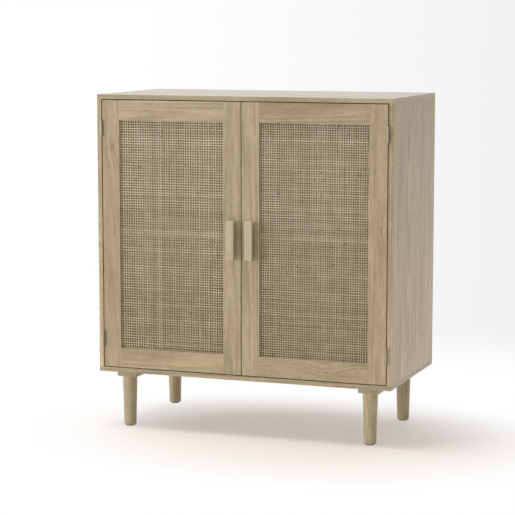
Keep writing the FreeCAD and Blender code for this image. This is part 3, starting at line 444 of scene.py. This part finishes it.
def rattan(name, grain):
    """The strands that run one way. Each strand has its own tone, and its fibres run along it."""
    finish, tree = new_finish(name)
    here = add(tree, "TexCoord").outputs["Object"]
    sizes = [PEEL_FIBRE_LENGTH if axis == grain else PEEL_FIBRE_WIDTH for axis in "xyz"]
    drawn = add(tree, "Mapping", values={"Scale": [METRE / size for size in sizes]}, links={"Vector": here})
    peel_fibres = add(tree, "TexNoise", values={"Scale": 1.0, "Detail": 2.0},
                      links={"Vector": drawn.outputs[0]}).outputs["Fac"]
    patches = add(tree, "TexNoise", values={"Scale": METRE / PEEL_PATCH, "Detail": 2.0},
                  links={"Vector": here})
    strand = add(tree, "Attribute", {"attribute_name": "strand_tone"})
    tone = add(tree, "Math", {"operation": "ADD"}, links={0: peel_fibres, 1: strand.outputs["Fac"]})
    tone = add(tree, "Math", {"operation": "MULTIPLY_ADD"}, {1: PATCH_WEIGHT},
               {0: patches.outputs["Fac"], 2: tone.outputs[0]})
    # The peel is a little browner towards the foot of each door
    height = add(tree, "SeparateXYZ", links={0: here}).outputs["Z"]
    browner = add(tree, "MapRange", values=FOOT_LOSS, links={"Value": height})
    tone = add(tree, "Math", {"operation": "ADD"}, links={0: tone.outputs[0], 1: browner.outputs[0]})
    level = add(tree, "MapRange", values=PEEL_LEVELS, links={"Value": tone.outputs[0]})
    peel = add(tree, "ValToRGB", links={"Fac": level.outputs[0]})
    set_ramp(peel, [(position, linear(colour)) for position, colour in PEEL_COLOURS])
    # Here and there a strand has the dark mark of a leaf joint
    marks = add(tree, "TexNoise", values={"Scale": METRE / LEAF_JOINT_SIZE, "Detail": 1.0},
                links={"Vector": here})
    marked = add(tree, "MapRange", values=LEAF_JOINT_LEVELS, links={"Value": marks.outputs["Fac"]})
    peel = add(tree, "Mix", {"data_type": "RGBA"}, {COLOUR_B: linear(LEAF_JOINT)},
               {SHARE: marked.outputs[0], COLOUR_A: peel.outputs["Color"]})
    relief = add(tree, "Bump", values={"Strength": 0.25, "Distance": 0.15 * MM},
                 links={"Height": peel_fibres})
    surface = add(tree, "BsdfPrincipled", values={"Roughness": 0.45, "IOR": 1.5},
                  links={"Base Color": peel.outputs[MIXED_COLOUR], "Normal": relief.outputs[0]})
    add(tree, "OutputMaterial", links={"Surface": surface.outputs[0]})
    return finish


def strand_lines(chance, start, end, pitch, fill):
    """The strands of one direction, side by side from start to end: where each lies, and how it wanders.

    fill is the least and the greatest share of the spacing that a strand's width takes up."""
    count = round((end - start) / pitch)
    step = (end - start) / count
    lines = []
    for number in range(count):
        lines.append({
            "middle": start + (number + 0.5) * step + chance.uniform(-STRAND_STRAY, STRAND_STRAY) * pitch,
            "width": chance.uniform(*fill) * pitch,
            "tone": chance.triangular(*STRAND_TONES),
            "sway": chance.uniform(*STRAND_SWAY),
            "reach": chance.uniform(*STRAND_WAVE),
            "phase": chance.uniform(0, math.tau),
        })
    return lines


def swayed(line, along):
    """Where a strand's middle lies at a point along it."""
    return line["middle"] + line["sway"] * math.sin(math.tau * along / line["reach"] + line["phase"])


def strand_path(line, number, crossed, start, end, front_when):
    """The points along a strand and how far each stands in front of the weave's middle."""
    path = []
    for other, crossing in enumerate(crossed):
        rise = STRAND_RISE if (number + other) % 2 == front_when else -STRAND_RISE
        at = swayed(crossing, line["middle"])
        half = CROSSING_SHARE * crossing["width"]
        path += [(at - half, rise), (at + half, rise)]
    path[0] = (start, path[0][1])
    path[-1] = (end, path[-1][1])
    return path


def woven(name, lines, crossed, start, end, upright, finish):
    """One direction's strands as one piece: each is a strip of faces bent over and under those it crosses."""
    shape = bmesh.new()
    tone = shape.verts.layers.float.new("strand_tone")
    for number, line in enumerate(lines):
        path = strand_path(line, number, crossed, start, end, 0 if upright else 1)
        steps = len(path) - 1
        strip = bmesh.ops.create_grid(shape, x_segments=steps, y_segments=2, size=0.5)["verts"]
        for vertex in strip:
            along, rise = path[round((vertex.co.x + 0.5) * steps)]
            side = 2 * vertex.co.y
            across = swayed(line, along) + side * line["width"] / 2
            depth = CANE_MIDDLE_Y - rise - STRAND_CROWN * (0.5 - side * side)
            place = (across, depth, along) if upright else (along, depth, across)
            vertex.co = [size * MM for size in place]
            vertex[tone] = line["tone"]
    for face in shape.faces:
        face.smooth = True
    mesh = bpy.data.meshes.new(name)
    shape.to_mesh(mesh)
    shape.free()
    mesh.materials.append(finish)
    piece = bpy.data.objects.new(name, mesh)
    bpy.context.collection.objects.link(piece)
    thick = piece.modifiers.new("peel_thickness", "SOLIDIFY")
    thick.thickness = STRAND_THICKNESS * MM
    thick.offset = 0
    return piece


upright_rattan = rattan("peeled_rattan_upright", "z")
level_rattan = rattan("peeled_rattan_level", "x")


def weave_door(door, left, right, pitch, fill, seed):
    """The cane of one door, in place of its plain CAD panel."""
    chance = random.Random(seed)
    uprights = strand_lines(chance, left, right, pitch, fill)
    levels = strand_lines(chance, CANE_BOTTOM, CANE_TOP, pitch, fill)
    pieces = (
        woven(door + "_cane_uprights", uprights, levels, CANE_BOTTOM, CANE_TOP, True, upright_rattan),
        woven(door + "_cane_levels", levels, uprights, left, right, False, level_rattan),
    )
    for piece in pieces:
        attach(piece, door)
        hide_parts(door + "_cane_panel")


# The right door's cane is woven a little closer, in thinner strands
weave_door("left_door", CANE_LEFT, CANE_RIGHT, pitch=6.6, fill=(0.36, 0.46), seed=3)
weave_door("right_door", -CANE_RIGHT, -CANE_LEFT, pitch=6.1, fill=(0.34, 0.44), seed=8)


# The floor: a pale matt studio floor that turns to plain white round the cabinet's shadow, and then fades
# into the backdrop. Near the cabinet the white is painted light: the shadow keeps a share of it, and the
# oval's middle lies in front of the cabinet, so that the shadow's rear is painted lighter than its front. The
# shadow's zone is an oval, and the distances count from its middle, in metres along X.

# The matt floor's warm colour is painted warmth of light bounced from the oak into the shadow
WARM_BOUNCE_FLOOR_COLOUR = "#F2E9DE"
# Half the floor's side in metres
FLOOR_HALF = 40.0
SHADOW_MIDDLE = (0.14, -0.11, 0.0)
SHADOW_OVAL = (1.0, 0.72, 1.0)
WHITE_FROM, WHITE_TO = 0.28, 0.80
FADE_FROM, FADE_TO = 1.3, 2.6
# The share of plain white at the middle: painted light that lightens the shadow's core
FLOOR_WHITE = 0.3


def seen_rays(tree):
    """1 where a camera, a mirror or a glass looks, and 0 for light that only falls on things."""
    rays = add(tree, "LightPath").outputs
    either = add(tree, "Math", {"operation": "MAXIMUM"},
                 links={0: rays["Is Camera Ray"], 1: rays["Is Glossy Ray"]})
    return add(tree, "Math", {"operation": "MAXIMUM"},
               links={0: either.outputs[0], 1: rays["Is Transmission Ray"]}).outputs[0]


def studio_floor():
    """A large level square with a matt white finish."""
    shape = bmesh.new()
    bmesh.ops.create_grid(shape, x_segments=1, y_segments=1, size=FLOOR_HALF)
    mesh = bpy.data.meshes.new("studio_floor")
    shape.to_mesh(mesh)
    shape.free()
    floor = bpy.data.objects.new("studio_floor", mesh)
    bpy.context.collection.objects.link(floor)
    finish, tree = new_finish("matt_white_floor")
    coordinates = add(tree, "TexCoord")
    oval = add(tree, "Mapping", {"vector_type": "TEXTURE"}, {"Location": SHADOW_MIDDLE, "Scale": SHADOW_OVAL},
               {"Vector": coordinates.outputs["Object"]})
    away = add(tree, "VectorMath", {"operation": "LENGTH"}, links={0: oval.outputs[0]}).outputs["Value"]
    seen = seen_rays(tree)
    white = add(tree, "MapRange", {"interpolation_type": "SMOOTHSTEP"},
                span(WHITE_FROM, WHITE_TO, FLOOR_WHITE, 1.0), {"Value": away})
    gone = add(tree, "MapRange", {"interpolation_type": "SMOOTHSTEP"}, span(FADE_FROM, FADE_TO),
               {"Value": away})
    seen_white = add(tree, "Math", {"operation": "MULTIPLY"}, links={0: white.outputs[0], 1: seen})
    seen_gone = add(tree, "Math", {"operation": "MULTIPLY"}, links={0: gone.outputs[0], 1: seen})
    matt = add(tree, "BsdfDiffuse", values={"Color": linear(WARM_BOUNCE_FLOOR_COLOUR)})
    plain_white = add(tree, "Emission", values={"Color": (1, 1, 1, 1), "Strength": 1.0})
    near = add(tree, "MixShader",
               links={0: seen_white.outputs[0], 1: matt.outputs[0], 2: plain_white.outputs[0]})
    backdrop = add(tree, "BsdfTransparent")
    whole = add(tree, "MixShader",
                links={0: seen_gone.outputs[0], 1: near.outputs[0], 2: backdrop.outputs[0]})
    add(tree, "OutputMaterial", links={"Surface": whole.outputs[0]})
    mesh.materials.append(finish)


studio_floor()


# Light: a soft key from the front left, a softbox overhead, the glow of a lit backdrop, a low fill on the
# right and pale surroundings

def softbox(name, place, target, size, energy, mirrored=True):
    """A square lamp that faces a point: its size in metres and its power in watts.

    The lacquer shows the backdrop itself, so the backdrop's glow isn't mirrored too."""
    lamp = bpy.data.lights.new(name, "AREA")
    lamp.size = size
    lamp.energy = energy
    piece = bpy.data.objects.new(name, lamp)
    piece.location = place
    piece.rotation_euler = (Vector(target) - Vector(place)).to_track_quat("-Z", "Y").to_euler()
    piece.visible_camera = False
    piece.visible_glossy = mirrored
    bpy.context.collection.objects.link(piece)


softbox("key_softbox", (-5.5, -4.3, 0.7), (0, 0, 0.45), size=2.6, energy=232)
softbox("overhead_softbox", (-0.9, -0.5, 4.0), (0, 0, 0), size=1.8, energy=90)
softbox("backdrop_glow", (0.2, 3.0, 1.0), (0, 0, 0.1), size=2.5, energy=36, mirrored=False)
softbox("right_softbox", (3.8, -0.2, 1.2), (0, 0, 0.4), size=1.8, energy=3)

# The surroundings' light, and the backdrop that is seen: white on the left and a pale grey on the right
AMBIENT = 0.475
BACKDROP = span(-0.40, -0.21, 1.0, 0.885)
world = bpy.data.worlds.new("studio")
bpy.context.scene.world = world
world.use_nodes = True
sky = world.node_tree
sky.nodes.clear()
towards = add(sky, "SeparateXYZ", links={0: add(sky, "TexCoord").outputs["Generated"]})
backdrop = add(sky, "MapRange", values=BACKDROP, links={"Value": towards.outputs["X"]})
strength = add(sky, "Mix", {"data_type": "FLOAT"}, {NUMBER_A: AMBIENT},
               {SHARE: seen_rays(sky), NUMBER_B: backdrop.outputs[0]})
dome = add(sky, "Background", values={"Color": (1, 1, 1, 1)}, links={"Strength": strength.outputs[0]})
add(sky, "OutputWorld", links={"Surface": dome.outputs[0]})

# Camera, where the photograph was taken from: its place in metres, how far it looks down and to the left in
# degrees, and its lens in mm

CAMERA_PLACE = (1.6491, -4.5731, 1.0757)
LOOKS_DOWN = 7.37
LOOKS_LEFT = 20.11
FOCAL_LENGTH = 129.3
SENSOR_WIDTH = 36

lens = bpy.data.cameras.new("camera")
lens.lens = FOCAL_LENGTH
lens.sensor_width = SENSOR_WIDTH
camera = bpy.data.objects.new("camera", lens)
camera.location = CAMERA_PLACE
camera.rotation_euler = (math.radians(90 - LOOKS_DOWN), 0, math.radians(LOOKS_LEFT))
bpy.context.collection.objects.link(camera)
bpy.context.scene.camera = camera

bpy.context.scene.view_settings.view_transform = "Standard"
# The cane's meshes are hardly wider than the picture's pixels. Smoothed guide pictures would blur them away
# when the render is cleaned of noise, so the guides are used as they are.
bpy.context.scene.cycles.denoising_prefilter = "NONE"
